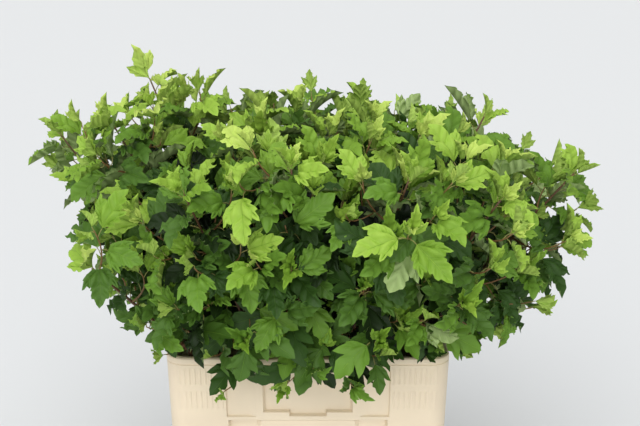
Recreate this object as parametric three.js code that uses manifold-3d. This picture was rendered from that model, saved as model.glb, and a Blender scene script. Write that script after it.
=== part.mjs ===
// Cut ninebark stems, leafy from the rim up, packed in a moulded plastic container.
// Millimetres, +Z up, the container's long side along X and its front at -Y.
// The origin is the middle of the flat underside.
import * as THREE from "three";
import { mergeVertices } from "three/addons/utils/BufferGeometryUtils.js";
import Module from "manifold-3d";

const wasm = await Module();
wasm.setup();

// Container: outer size at the rim, draft, wall and rim
const CONTAINER_LENGTH = 400;
const CONTAINER_DEPTH = 300;
const CONTAINER_HEIGHT = 340;
const CORNER_RADIUS = 28;
const EDGE_ROUND = 4;
const DRAFT_DEG = 2;
const WALL = 3;
const FLOOR = 3;
const RIM_WIDTH = 12;
const RIM_HEIGHT = 9;
const CORNER_SEGMENTS = 4;

// Fields sunk into the faces: half widths at bottom and top, lowest and highest edge, depth
const LONG_FACE_FIELDS = [
  { name: "panel", bottom: 118, top: 116, low: 250, high: 320, depth: 3 },
  { name: "card window", bottom: 59, top: 64, low: 257, high: 302, depth: 6 },
  { name: "notch under the card", bottom: 26, top: 27, low: 251, high: 262, depth: 6 },
  { name: "lower recess", bottom: 110, top: 115, low: 44, high: 245, depth: 10 },
];
const SHORT_FACE_FIELDS = [
  { name: "panel", bottom: 78, top: 84, low: 44, high: 300, depth: 3 },
  { name: "grip", bottom: 48, top: 52, low: 258, high: 288, depth: 14 },
];

// Stems: a grid of feet on the floor that fans out from one point low in the container
const STEM_COLUMNS = 5;
const STEM_ROWS = 4;
const GRID_JITTER = 0.3;
const GRID_STAGGER = 0.25;
const FAN_ORIGIN_HEIGHT = 124;
const FAN_X_DEG = 39;
const FAN_Y_DEG = 35;
const FAN_TURN_DEG = 1.5;
const FOOT_SPREAD = 0.62;
const FOOT_GAP = 0.3;
const STEM_FOOT_RADIUS = 5;
const STEM_TOP_RADIUS = 3.6;
const STEM_TOP_HEIGHT = 352;
const STEM_SIDES = 5;
const STEM_STEPS = 3;
const STEM_JOINT_GAP = 0.3;

// Crown: how far its leaves reach from the fan's origin, flat on top, round at the shoulders, drawn in below
const CROWN_TOP_REACH = 572;
const CROWN_REACH = 622;
const SHOULDER_DEG = 38;
const LIMIT_DEG = { left: 50, right: 60, front: 62, back: 57 };
const SHORTER = 0.06;
// Stems that outgrow the rest or stay behind: their share of the reach, and how much more they lean along X
const LEADERS = {
  "1_1": { vigour: 1.0, leanDeg: -2 },
  "1_2": { vigour: 1.05, leanDeg: 0 },
  "1_3": { vigour: 1.06, leanDeg: -3 },
  "2_3": { vigour: 1.13, leanDeg: -4 },
  "2_4": { vigour: 0.94, leanDeg: 0 },
  "5_1": { vigour: 1.02, leanDeg: 0 },
  "5_2": { vigour: 1.05, leanDeg: 0 },
  "5_3": { vigour: 1.02, leanDeg: 0 },
  "5_4": { vigour: 1.04, leanDeg: 0 },
};
const LOWEST_LEAF = { front: 300, side: 324 };

// Twigs of one mass
const MASS_STEM_RADIUS = 3.6;
const MASS_TIP_RADIUS = 1.6;
const TWIG_RADIUS = 1.6;
const TWIG_TIP_RADIUS = 1.1;
const TWIG_TRIES = 160;
const GOLDEN_ANGLE_DEG = 137.5;
const TWIG_FROM = 0.02;
const TWIG_TO = 0.95;
const TWIG_LEAN_DEG = { low: 72, high: 34 };
const TWIG_LENGTH = { shortest: 30, longest: 110 };
const SKIRT_TRIES = 16;
const SKIRT_TO = 0.2;
const SKIRT_LEAN_DEG = 86;
const SKIRT_SPREAD_DEG = 60;
const SKIRT_LENGTH = { shortest: 40, longest: 115 };
const OUTWARD_TURN_DEG = 270;

// Leaves: three-lobed, larger than life so that fewer of them close the crown
const LEAVES_INSIDE = 15;
const LEAVES_PER_OPEN_SIDE = 12;
const LEAST_ON_TWIG = 2;
const LEAVES_FROM_DEPTH = 0.5;
const LEAF_STATIONS = [0.84, 0.62, 0.4, 0.2];
const TOP_SHOOT_LENGTH = 60;
const LEAF_LENGTH = 96;
const LEAF_SIZES = [1, 0.87, 0.75];
const LEAF_LOBE = { along: 0.54, across: 0.48 };
const LEAF_NOTCH = { along: 0.61, across: 0.22 };
const LEAF_CENTRE = 0.16;
const LEAF_FOLD = 0.1;
const LEAF_CURL = 0.1;
const LEAF_THICKNESS = 2.4;
const LEAF_SUNK = 0.4;
const TIP_LEAF_SUNK = 2;
const LEAF_SPREAD_DEG = 55;
const LEAF_DROOP = 1.8;
const LEAF_FACING_OUT = 8;

// Room between the masses, and between leaves and container
const SPACE_GAP = 0.4;
const CLEARANCE = 1.2;

// Volumes in cubic millimetres above which two shapes of one mass are in each other's way
const TOUCHING = 0.05;
const TWIG_JOINT = 16;

// Seeds, so that every run grows the same plant
const LAYOUT_SEED = 7;
const MASS_SEED = 500;

const SIMPLER = 0.02;
const CREAM = 0xdfd1b6;
const BARK = 0x6b4030;
const LEAF_GREENS = [0x5f9a2c, 0x4f8a2e, 0x74aa35];

const UP = new THREE.Vector3(0, 0, 1);
const FAN_ORIGIN = new THREE.Vector3(0, 0, FAN_ORIGIN_HEIGHT);
const degrees = THREE.MathUtils.degToRad;
const between = ({ shortest, longest }, share) => shortest + (longest - shortest) * share;

// Random numbers from 0 to 1, always the same ones for the same seed.
function seeded(seed) {
  let state = seed >>> 0;
  return () => {
    state = (state + 0x6d2b79f5) >>> 0;
    let mixed = Math.imul(state ^ (state >>> 15), state | 1);
    mixed ^= mixed + Math.imul(mixed ^ (mixed >>> 7), mixed | 61);
    return ((mixed ^ (mixed >>> 14)) >>> 0) / 4294967296;
  };
}

// A closed geometry as a solid that can be joined and cut.
function solidOf(geometry) {
  const bare = geometry.clone();
  bare.deleteAttribute("normal");
  bare.deleteAttribute("uv");
  const merged = mergeVertices(bare, 1e-4);
  return new wasm.Manifold(
    new wasm.Mesh({
      numProp: 3,
      vertProperties: merged.attributes.position.array,
      triVerts: new Uint32Array(merged.index.array),
    }),
  );
}

// A solid as a named mesh. Only its largest body is kept, so sealed hollows are filled and scraps dropped.
function meshOf(solid, name, material) {
  const bodies = solid.asOriginal().simplify(SIMPLER).decompose().sort((a, b) => b.volume() - a.volume());
  const { numProp, vertProperties, triVerts } = bodies[0].getMesh();
  const geometry = new THREE.BufferGeometry();
  geometry.setAttribute("position", new THREE.BufferAttribute(vertProperties, numProp));
  geometry.setIndex(new THREE.BufferAttribute(triVerts, 1));
  geometry.computeVertexNormals();
  const mesh = new THREE.Mesh(geometry, material);
  mesh.name = name;
  return mesh;
}

const joined = (solids) => solids.reduce((all, next) => all.add(next));
const sharedVolume = (a, b) => a.intersect(b).volume();

// Container

// A rectangle with round corners, centred on the origin of a plane.
function roundedRectangle(halfX, halfY, radius) {
  const shape = new THREE.Shape();
  const [x, y] = [halfX - radius, halfY - radius];
  const centres = [[x, y], [-x, y], [-x, -y], [x, -y]];
  shape.moveTo(halfX, -y);
  centres.forEach(([centreX, centreY], quarter) => {
    shape.absarc(centreX, centreY, radius, (quarter * Math.PI) / 2, ((quarter + 1) * Math.PI) / 2);
  });
  return shape;
}

// An upright block with the container's rounded plan, set in from its outer size.
function planBlock(inset, low, high, round = 0) {
  const shape = roundedRectangle(
    CONTAINER_LENGTH / 2 - inset - round,
    CONTAINER_DEPTH / 2 - inset - round,
    CORNER_RADIUS - inset - round,
  );
  const geometry = new THREE.ExtrudeGeometry(shape, {
    depth: high - low - 2 * round,
    curveSegments: CORNER_SEGMENTS,
    bevelEnabled: round > 0,
    bevelThickness: round,
    bevelSize: round,
    bevelSegments: 2,
  });
  return solidOf(geometry.translate(0, 0, low + round));
}

// The block that sinks a field into a face at +Y. Grown by the wall it is the hump that the field makes inside.
function fieldBlock({ bottom, top, low, high, depth }, faceDistance, grow) {
  const shape = new THREE.Shape([
    new THREE.Vector2(-bottom - grow, low - grow),
    new THREE.Vector2(bottom + grow, low - grow),
    new THREE.Vector2(top + grow, high + grow),
    new THREE.Vector2(-top - grow, high + grow),
  ]);
  const outside = 2 * WALL;
  const geometry = new THREE.ExtrudeGeometry(shape, {
    depth: outside + depth + grow,
    bevelEnabled: false,
  });
  geometry.rotateX(Math.PI / 2);
  return solidOf(geometry.translate(0, faceDistance + outside, 0));
}

// The fields of all four faces.
function faceFields(grow = 0) {
  const long = joined(LONG_FACE_FIELDS.map((field) => fieldBlock(field, CONTAINER_DEPTH / 2, grow)));
  const short = joined(SHORT_FACE_FIELDS.map((field) => fieldBlock(field, CONTAINER_LENGTH / 2, grow)));
  return joined([
    long,
    long.rotate([0, 0, 180]),
    short.rotate([0, 0, 90]),
    short.rotate([0, 0, -90]),
  ]);
}

// Narrows the container towards its foot by the draft of its mould.
function withDraft(solid) {
  const slope = Math.tan(degrees(DRAFT_DEG));
  return solid.warp((point) => {
    const narrowing = slope * Math.max(0, CONTAINER_HEIGHT - point[2]);
    point[0] *= 1 - narrowing / (CONTAINER_LENGTH / 2);
    point[1] *= 1 - narrowing / (CONTAINER_DEPTH / 2);
  });
}

function container() {
  const rimUnderside = CONTAINER_HEIGHT - RIM_HEIGHT;
  const outside = planBlock(0, 0, CONTAINER_HEIGHT, EDGE_ROUND).subtract(faceFields());
  const cavity = planBlock(WALL, FLOOR, rimUnderside).subtract(faceFields(WALL));
  const mouth = planBlock(RIM_WIDTH, rimUnderside - 1, CONTAINER_HEIGHT + 1);
  return withDraft(outside.subtract(cavity).subtract(mouth));
}

// Stems

// The way a stem leans, by its place in the grid: u and v run from -1 to 1 along X and Y.
function fanDirection(u, v, extraDeg) {
  const leanX = Math.tan(degrees(u * FAN_X_DEG + FAN_TURN_DEG + extraDeg));
  const leanY = Math.tan(degrees(v * FAN_Y_DEG));
  return new THREE.Vector3(leanX, leanY, 1).normalize();
}

// How far the crown reaches from the fan's origin along a direction.
function crownReach(direction) {
  const tilt = THREE.MathUtils.radToDeg(direction.angleTo(UP));
  const across = direction.x ** 2;
  const along = direction.y ** 2;
  const atEnd = direction.x < 0 ? LIMIT_DEG.left : LIMIT_DEG.right;
  const atFace = direction.y < 0 ? LIMIT_DEG.front : LIMIT_DEG.back;
  const limit = (atEnd * across + atFace * along) / (across + along || 1);
  const past = Math.max(0, tilt - SHOULDER_DEG) / (limit - SHOULDER_DEG);
  const rounded = CROWN_REACH * Math.sqrt(Math.max(0, 1 - past * past));
  return Math.min(rounded, CROWN_TOP_REACH / Math.cos(degrees(tilt)));
}

// The point of a ray from the fan's origin at a height.
function rayAtHeight(direction, height) {
  const length = (height - FAN_ORIGIN_HEIGHT) / direction.z;
  return FAN_ORIGIN.clone().addScaledVector(direction, length);
}

// Where each stem stands, leans and ends. Rows are staggered, so that one row's gaps are closed by the next.
function stemLayout() {
  const random = seeded(LAYOUT_SEED);
  const jitter = () => GRID_JITTER * (random() - 0.5);
  const stems = [];
  for (let row = 0; row < STEM_ROWS; row += 1) {
    const stagger = row % 2 ? GRID_STAGGER : -GRID_STAGGER;
    for (let column = 0; column < STEM_COLUMNS; column += 1) {
      const u = (2 * (column + 0.5 + stagger + jitter())) / STEM_COLUMNS - 1;
      const v = (2 * (row + 0.5 + jitter())) / STEM_ROWS - 1;
      const name = `${column + 1}_${row + 1}`;
      const leader = LEADERS[name] ?? { vigour: 1, leanDeg: 0 };
      const direction = fanDirection(u, v, leader.leanDeg);
      const top = rayAtHeight(direction, STEM_TOP_HEIGHT);
      const openSides = [column === 0, column === STEM_COLUMNS - 1, row === 0, row === STEM_ROWS - 1];
      stems.push({
        name,
        direction,
        top,
        foot: new THREE.Vector3(top.x * FOOT_SPREAD, top.y * FOOT_SPREAD, FLOOR + FOOT_GAP),
        vigour: (1 - SHORTER * random()) * leader.vigour,
        spin: 360 * random(),
        openSides: openSides.filter(Boolean).length,
      });
    }
  }
  return stems;
}

// A tapering bar with a few sides, bent along a curve.
function taperedBar(curve, footRadius, topRadius, sides, steps) {
  const geometry = new THREE.CylinderGeometry(topRadius, footRadius, 1, sides, steps);
  geometry.rotateX(Math.PI / 2).translate(0, 0, 0.5);
  const positions = geometry.attributes.position;
  const point = new THREE.Vector3();
  for (let i = 0; i < positions.count; i += 1) {
    point.fromBufferAttribute(positions, i);
    const share = THREE.MathUtils.clamp(point.z, 0, 1);
    const turn = new THREE.Quaternion().setFromUnitVectors(UP, curve.getTangent(share));
    point.setZ(0).applyQuaternion(turn).add(curve.getPoint(share));
    positions.setXYZ(i, point.x, point.y, point.z);
  }
  return solidOf(geometry);
}

// The bare part of a stem, from its flat cut on the container's floor to where its leaves begin.
function bareStem({ foot, top, direction }) {
  const third = (top.z - foot.z) / 3;
  const rising = foot.clone().lerp(top, 1 / 3);
  const leaning = top.clone().addScaledVector(direction, -third);
  const curve = new THREE.CubicBezierCurve3(foot, rising, leaning, top);
  const bar = taperedBar(curve, STEM_FOOT_RADIUS, STEM_TOP_RADIUS, STEM_SIDES, STEM_STEPS);
  return bar.trimByPlane([0, 0, 1], foot.z);
}

// Foliage

// A test for the space of one mass: nearer to its own direction than to any other stem's,
// within the crown's reach, and either above the container or outside one of its faces.
function ownSpace(stem, stems) {
  const borders = stems
    .filter((other) => other !== stem)
    .map((other) => stem.direction.clone().sub(other.direction).normalize());
  const outsideX = CONTAINER_LENGTH / 2 + CLEARANCE;
  const outsideY = CONTAINER_DEPTH / 2 + CLEARANCE;
  const clearOfContainer = [
    (p) => p.z > CONTAINER_HEIGHT + CLEARANCE,
    (p) => p.x > outsideX,
    (p) => p.x < -outsideX,
    (p) => p.y > outsideY,
    (p) => p.y < -outsideY,
  ];
  const inCrown = (point) => {
    const fromOrigin = point.clone().sub(FAN_ORIGIN);
    const lowest = Math.abs(point.x) > outsideX ? LOWEST_LEAF.side : LOWEST_LEAF.front;
    return (
      point.z > lowest &&
      fromOrigin.length() < crownReach(fromOrigin) * stem.vigour &&
      borders.every((border) => border.dot(fromOrigin) > SPACE_GAP)
    );
  };
  return (points) => points.every(inCrown) && clearOfContainer.some((clear) => points.every(clear));
}

// The corners of one three-lobed leaf in its own frame: x along it, y across it, z out of its upper side.
function leafCorners(length) {
  const fold = LEAF_FOLD * length;
  const side = (sign) => [
    [LEAF_LOBE.along * length, sign * LEAF_LOBE.across * length, fold],
    [LEAF_NOTCH.along * length, sign * LEAF_NOTCH.across * length, fold / 3],
  ];
  return [
    [-LEAF_SUNK, 0, 0],
    ...side(1),
    [length, 0, -LEAF_CURL * length],
    ...side(-1).reverse(),
    [LEAF_CENTRE * length, 0, LEAF_THICKNESS / 2],
    [LEAF_CENTRE * length, 0, -LEAF_THICKNESS / 2],
  ];
}

// Two fans, from the upper and from the lower middle to the outline, by the order of leafCorners.
const LEAF_FACES = [0, 1, 2, 3, 4, 5].flatMap((i) => [
  [i, 6, (i + 1) % 6],
  [i, (i + 1) % 6, 7],
]);

// A leaf's corners in place: its base at a point, along a direction, its upper side towards facing.
function placedLeaf(base, along, facing, length) {
  const across = new THREE.Vector3().crossVectors(facing, along).normalize();
  const out = new THREE.Vector3().crossVectors(along, across);
  const frame = new THREE.Matrix4().makeBasis(along, across, out).setPosition(base);
  return leafCorners(length).map((corner) => new THREE.Vector3(...corner).applyMatrix4(frame));
}

function leafSolid(corners) {
  const positions = corners.flatMap((corner) => corner.toArray());
  const geometry = new THREE.BufferGeometry();
  geometry.setAttribute("position", new THREE.Float32BufferAttribute(positions, 3));
  geometry.setIndex(LEAF_FACES.flat());
  return solidOf(geometry);
}

// A unit vector that leans from an axis by an angle, at a turn about it. A turn of 270 leans outward and down.
function leaning(axis, leanDeg, turnDeg) {
  const side = new THREE.Vector3().crossVectors(UP, axis).normalize();
  side.applyAxisAngle(axis, degrees(turnDeg));
  const leaned = axis.clone().multiplyScalar(Math.cos(degrees(leanDeg)));
  return leaned.addScaledVector(side, Math.sin(degrees(leanDeg)));
}

// A straight three-sided shoot from one point to another.
function shoot(from, to, footRadius, topRadius) {
  return taperedBar(new THREE.LineCurve3(from, to), footRadius, topRadius, 3, 1).simplify(SIMPLER);
}

// Where the leaves of one shoot sit: one at its tip and the others on either side along it.
function leafPlaces(from, to, turnDeg) {
  const axis = to.clone().sub(from).normalize();
  const tip = { base: to.clone().addScaledVector(axis, -TIP_LEAF_SUNK), along: axis };
  const sides = LEAF_STATIONS.map((station, i) => ({
    base: from.clone().lerp(to, station),
    along: leaning(axis, LEAF_SPREAD_DEG, turnDeg + 180 * i),
  }));
  return [tip, ...sides];
}

// The leaf that grows at a place, as long as its mass has room for.
// The lower it is, the more it droops and the more its upper side faces outward instead of up.
function leafAt({ base, along }, fits) {
  const low = (1 - THREE.MathUtils.clamp((base.z - CONTAINER_HEIGHT) / CROWN_TOP_REACH, 0, 1)) ** 3;
  const hanging = along.clone().addScaledVector(UP, -LEAF_DROOP * low).normalize();
  const outward = LEAF_FACING_OUT * low;
  const facing = base.clone().sub(FAN_ORIGIN).multiply(new THREE.Vector3(outward, outward, 1));
  const sizes = LEAF_SIZES.map((size) => placedLeaf(base, hanging, facing, LEAF_LENGTH * size));
  const corners = sizes.find(fits);
  return corners && leafSolid(corners);
}

// The leaves of one shoot that have room and touch neither each other nor the rest of the mass.
function leavesOf(from, to, turnDeg, fits, rest = []) {
  const leaves = [];
  for (const place of leafPlaces(from, to, turnDeg)) {
    const leaf = leafAt(place, fits);
    if (leaf && [...rest, ...leaves].every((other) => sharedVolume(other, leaf) < TOUCHING)) leaves.push(leaf);
  }
  return leaves;
}

// Where a try at a twig starts and ends. The first tries on an open side are for the skirt, low and outward.
function twigTry(stem, from, to, count, random) {
  const isSkirt = stem.openSides > 0 && count < SKIRT_TRIES;
  const at = isSkirt ? SKIRT_TO * random() : TWIG_FROM + (TWIG_TO - TWIG_FROM) * random();
  const twigLean = TWIG_LEAN_DEG.low + (TWIG_LEAN_DEG.high - TWIG_LEAN_DEG.low) * at;
  const lean = isSkirt ? SKIRT_LEAN_DEG : twigLean;
  const turn = isSkirt
    ? OUTWARD_TURN_DEG + SKIRT_SPREAD_DEG * (2 * random() - 1)
    : stem.spin + GOLDEN_ANGLE_DEG * count;
  const length = between(isSkirt ? SKIRT_LENGTH : TWIG_LENGTH, random());
  const foot = from.clone().lerp(to, at);
  const tip = foot.clone().addScaledVector(leaning(stem.direction, lean, turn), length);
  return { foot, tip, turn };
}

// Stem, twigs and leaves of one mass, grown by the same seeded rule for each and kept in its own space.
function foliage(stem, index, stems) {
  const random = seeded(MASS_SEED + index);
  const fits = ownSpace(stem, stems);
  const from = stem.top.clone().addScaledVector(stem.direction, STEM_JOINT_GAP);
  const stemReach = crownReach(stem.direction) * stem.vigour - LEAF_LENGTH;
  const to = FAN_ORIGIN.clone().addScaledVector(stem.direction, stemReach);
  const topShoot = to.clone().addScaledVector(stem.direction, -TOP_SHOOT_LENGTH);
  const topLeaves = leavesOf(topShoot, to, stem.spin, fits);
  const mostLeaves = LEAVES_INSIDE + LEAVES_PER_OPEN_SIDE * stem.openSides;
  let mass = joined([shoot(from, to, MASS_STEM_RADIUS, MASS_TIP_RADIUS), ...topLeaves]);
  let leafCount = topLeaves.length;
  for (let count = 0; count < TWIG_TRIES && leafCount < mostLeaves; count += 1) {
    const { foot, tip, turn } = twigTry(stem, from, to, count, random);
    const depth = tip.distanceTo(FAN_ORIGIN) / crownReach(tip.clone().sub(FAN_ORIGIN));
    if (depth < LEAVES_FROM_DEPTH || !fits([tip])) continue;
    const twig = shoot(foot, tip, TWIG_RADIUS, TWIG_TIP_RADIUS);
    if (sharedVolume(mass, twig) > TWIG_JOINT) continue;
    const leaves = leavesOf(foot, tip, turn + 90, fits, [mass]);
    if (leaves.length < LEAST_ON_TWIG) continue;
    mass = joined([mass, twig, ...leaves]);
    leafCount += leaves.length;
  }
  return mass;
}

// The part

const smooth = (color, roughness) => new THREE.MeshStandardMaterial({ color, roughness, metalness: 0 });

const part = new THREE.Group();
part.add(meshOf(container(), "container", smooth(CREAM, 0.45)));
stemLayout().forEach((stem, index, stems) => {
  const green = LEAF_GREENS[index % LEAF_GREENS.length];
  part.add(meshOf(bareStem(stem), `stem_${stem.name}`, smooth(BARK, 0.7)));
  part.add(meshOf(foliage(stem, index, stems), `foliage_${stem.name}`, smooth(green, 0.55)));
});

export default part;
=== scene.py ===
# Cut ninebark stems, leafy from the rim up, in a moulded plastic container.
# Metres, +Z up, the container's long side along X and its front at -Y.
import itertools
import math

import bpy
import numpy as np
from mathutils import Matrix, Vector, noise


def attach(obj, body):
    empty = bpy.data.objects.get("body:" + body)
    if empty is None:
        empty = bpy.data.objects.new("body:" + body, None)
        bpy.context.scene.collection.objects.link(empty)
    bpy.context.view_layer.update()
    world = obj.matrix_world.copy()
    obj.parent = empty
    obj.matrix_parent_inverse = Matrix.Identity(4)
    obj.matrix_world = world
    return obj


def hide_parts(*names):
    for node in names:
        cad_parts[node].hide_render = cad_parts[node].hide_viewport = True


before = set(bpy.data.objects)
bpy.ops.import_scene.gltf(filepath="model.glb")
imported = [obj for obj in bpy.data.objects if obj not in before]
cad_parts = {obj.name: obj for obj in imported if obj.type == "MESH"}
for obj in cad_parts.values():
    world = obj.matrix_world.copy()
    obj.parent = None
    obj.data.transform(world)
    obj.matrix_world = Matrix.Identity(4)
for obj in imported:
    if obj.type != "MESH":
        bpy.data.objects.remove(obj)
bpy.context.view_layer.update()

BODY = "root"
UP = Vector((0, 0, 1))
TINY = 1e-6

# Camera, worked out from the rim and the card window in the photo
CAMERA_PLACE = (0.017, -1.871, 1.079)
CAMERA_PITCH_DEG = 17
CAMERA_LENS_MM = 75.1
SENSOR_WIDTH_MM = 36

# Stage and light
FLOOR_RADIUS = 14
FLOOR_CORNERS = 96
FLOOR_SHADE = (0.72, 0.735, 0.745)
SKY_SHADE = (1.0, 1.0, 1.0)
SKY_STRENGTH = 0.50
OVERHEAD_LIGHT = {"aim": (0.15, 0.35, -1.0), "strength": 1.62, "spread_deg": 80}
FRONT_LIGHT = {"aim": (0.1, 1.0, -0.34), "strength": 1.66, "spread_deg": 70}

# Container: half of its length and depth at the rim, its height, corners, draft and wall
HALF_LENGTH = 0.200
HALF_DEPTH = 0.150
CONTAINER_HEIGHT = 0.340
CORNER_RADIUS = 0.028
DRAFT_DEG = 2
WALL = 0.003
FLOOR = 0.003
FLOOR_ROUND = 0.003
INSIDE_FROM = 0.004
CORNER_STEPS = 24
SHARP_DEG = 28

# Rim from the outside to the inside: how far in, and how high
RIM_PROFILE = [
    (0.0010, 0.3305),
    (0.0000, 0.3318),
    (0.0000, 0.3360),
    (0.0010, 0.3386),
    (0.0035, 0.3400),
    (0.0080, 0.3400),
    (0.0110, 0.3390),
    (0.0120, 0.3360),
    (0.0120, 0.3310),
]
FOOT_PROFILE = [(0.0032, 0.0), (0.0010, 0.0010), (0.0, 0.0034)]
FOOT_RING = 0.016
FOOT_RING_SLOPE = 0.002
FOOT_RING_DEPTH = 0.0012

# Long faces: a panel, the raised block round a card window, and a recess below
PANEL = {"half": 0.117, "low": 0.2495, "high": 0.320, "edge": 0.0014, "depth": 0.004}
BLOCK = {"half": 0.075, "foot": 0.084, "share": 0.85}
WINDOW = {"half": 0.0645, "low": 0.2565, "high": 0.302, "edge": 0.0035, "sill": 0.0014, "depth": 0.0075}
NOTCH = {"half": 0.027, "low": 0.2505, "edge": 0.0016}
RECESS = {"half": 0.115, "low": 0.044, "high": 0.2450, "edge": 0.0030, "depth": 0.010}
RECESS_MIDDLE = {"half": 0.068, "foot": 0.074, "share": 0.6}

# Short faces: a panel and a grip
SIDE_PANEL = {"half": 0.083, "low": 0.044, "high": 0.300, "edge": 0.0020, "depth": 0.003}
GRIP = {"half": 0.051, "low": 0.258, "high": 0.288, "edge": 0.0040, "depth": 0.011}

# Fine upright ribs beside the panels, in two bands
RIB_BANDS = [(0.262, 0.291), (0.299, 0.326)]
RIB_PITCH = 0.0075
RIB_HEIGHT = 0.0011
RIB_FROM = 0.120
RIB_TO = 0.186
RIB_STEP = 0.001875
RIB_EDGE = 0.002

# Further rows and columns of corners on the plain parts of the faces
PLAIN_ROWS = {0.02, 0.08, 0.12, 0.16, 0.20, 0.31, 0.3295}
ROWS_APART = 0.0004
LONG_FACE_PLACES = [0.014, 0.045, 0.095]
SHORT_FACE_PLACES = [0.025, 0.067, 0.1]

# Stems: a grid of feet on the floor that fans out from one point low in the container
STEM_COLUMNS = 5
STEM_ROWS = 4
GRID_JITTER = 0.3
GRID_STAGGER = 0.25
FAN_ORIGIN = Vector((0, 0, 0.124))
FAN_X_DEG = 39
FAN_Y_DEG = 35
FAN_TURN_DEG = 1.5
FOOT_SPREAD = 0.62
FOOT_GAP = 0.0003
STEM_RADIUS = (0.005, 0.0036)
STEM_TOP_HEIGHT = 0.352
STEM_JOINT_GAP = 0.0003
STEM_SIDES = 12
STEM_RINGS = 64

# Bark: its mean share of a stem's radius, and the ridges, flakes and bud swellings on it
BARK_SHARE = 0.92
RIDGE_HEIGHT = 0.13
RIDGE_WAVES = (2, 6)
FLAKE_HEIGHT = 0.06
FLAKE_WAVES = (5, 40)
BUD_HEIGHT = 0.16
BUD_WIDTH = 0.07
BUDS = 8
BUD_SHIFT = 0.13

# Crown: how far its leaves reach from the fan's origin, and how far they lean out on each side
CROWN_TOP_REACH = 0.572
CROWN_REACH = 0.622
CROWN_HEIGHT = FAN_ORIGIN.z + CROWN_TOP_REACH - CONTAINER_HEIGHT
SHOULDER_DEG = 38
LIMIT_DEG = {"left": 50, "right": 60, "front": 62, "back": 57}
SHORTER = 0.06

# Stems that outgrow the rest or stay behind: their share of the reach, and how much more they lean along X
LEADERS = {
    "1_1": (1.0, -2),
    "1_2": (1.05, 0),
    "1_3": (1.06, -3),
    "2_3": (1.142, -4),
    "2_4": (0.94, 0),
    "5_1": (1.02, 0),
    "5_2": (1.05, 0),
    "5_3": (1.02, 0),
    "5_4": (1.04, 0),
}

# How low leaves may hang: in a skirt over the rim between two places along X, and beside it
LOWEST_LEAF_FRONT = 0.316
LOWEST_LEAF_SIDE = 0.334
SKIRT = (-0.140, 0.112)
SIDE_RISE = 0.43

# Twigs of one mass, by the rule of the solids
TWIG_TRIES = 160
GOLDEN_ANGLE_DEG = 137.5
TWIG_PLACES = (0.02, 0.95)
TWIG_LEAN_DEG = (72, 34)
TWIG_LENGTH = (0.030, 0.110)
SKIRT_TRIES = 16
SKIRT_TO = 0.2
SKIRT_LEAN_DEG = 86
SKIRT_SPREAD_DEG = 60
SKIRT_LENGTH = (0.040, 0.115)
OUTWARD_TURN_DEG = 270
LEAVES_FROM_DEPTH = 0.5

# The same rule carried on: shoots turn up and outward at their tips, and bear side shoots
MAIN_STEM = {"radii": (0.0034, 0.0012), "steps": 12, "sides": 6}
TWIG = {"radii": (0.0016, 0.0008), "steps": 6, "sides": 5}
SIDE_SHOOT = {"radii": (0.00104, 0.0008), "steps": 4, "sides": 4}
SHOOT_KNEE = 0.5
SHOOT_KEEPS = 0.35
SHOOT_RISE = (0.25, -0.25)
SHOOT_SHARES = [1.0, 0.85, 0.7]
OWN_REACH = (0.82, 1.05)
TWIG_VIGOUR_MOST = 1.0
TIP_SPACING = 0.050
SIDE_SHOOT_PLACES = [0.35, 0.6]
SIDE_SHOOT_LEAN_DEG = 50
SIDE_SHOOT_LENGTH = (0.030, 0.065)
SIDE_TIP_SPACING = 0.042

# Leaves along a shoot, counted from its tip down: the first has rank 0
LEAF_LENGTH = 0.062
LEAF_SHORTER = 0.24
LEAF_TRIES = (1.0, 0.8)
RANK_LEAN_DEG = [12, 30, 48, 60, 68]
LEAN_JITTER_DEG = 10
FIRST_TURN_DEG = 90
FIRST_GAP = 0.0015
RANK_GAP_POWER = 1.5
LEAFY_SHARE = 0.9
CREST = 0.6
YOUNG_RANKS = 2
PALE_RANKS = 3
GROWN_RANK = 3
DETAIL_DEPTH = 0.68

# Leaf stalks: their length and knee as shares of a leaf's and of their own, and their taper
PETIOLE = 0.24
PETIOLE_KNEE = 0.4
PETIOLE_RADIUS = 0.0008
PETIOLE_TAPER = [1.0, 1.0, 0.9, 0.8]
PETIOLE_SIDES = 3

# How leaves lie: they droop low down and look up and outward, more outward the lower they are
LOWNESS_POWER = 3
DROOP_POWER = 1.7
LEAF_DROOP = 1.0
LEAF_SAG = 0.15
LEAF_FACING_UP = 0.4
LEAF_FACING_OUT = (0.4, 1.7)
LEAF_ROLL_DEG = 30
LEAF_PITCH_DEG = 18
TURNED_OVER = 0.025

# Gaps and sizes of the leaves, and how far a mass's stem ends within the crown's reach
USUAL_SHOOT = {"gap": 0.0042, "sizes": [0.64, 0.84, 1.02, 1.1, 1.12], "end_back": 0.7}
TALL_SHOOT = {"gap": 0.0071, "sizes": [1.0, 0.85, 0.95, 1.0, 1.0], "end_back": 1.15, "turn_deg": 250}
TALL_STEM = "2_3"

# A leaf's green, in steps of the list of greens. A shoot's tint lies between two values, and the steps by
# age and painted light are for the shade and for full light
TINT = (-0.4, 0.9)
OLDEST_RANK = 5
AGE_STEP = (0.62, 0.3)
LIGHT_STEP = (0.6, -0.6)
# Painted shade: more steps low down, and inside the crown, where they also stand for shade leaves' darker
# green
LOW_SHADE_STEPS = 1.35
LOW_SHADE_SLOPE = 0.62
LOW_SHADE_POWER = 8
INNER_SHADE_STEPS = 28
INNER_SHADE_FROM = 0.89
FULL_LIGHT_FROM = 0.79
FULL_LIGHT_OVER = 0.12
OUTGROWN_OVER = 0.08

# Leaves near the rim count as far out, for painted shade, once they are past it, less so higher up
RIM_ZONE = 0.18
RIM_FADE = 0.45
RIM_EXPOSURE = (0.845, 0.825)
RIM_REACH = 0.05

# Room between two leaves' sample points, from them to the container, and from a tip to the next mass
LEAF_ROOM = 0.0085
SAMPLE_PLACES = [(0.3, 0), (0.62, 0), (0.95, 0), (0.48, 0.34), (0.48, -0.34)]
CLEARANCE = 0.0012
SPACE_GAP = 0.0004

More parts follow.
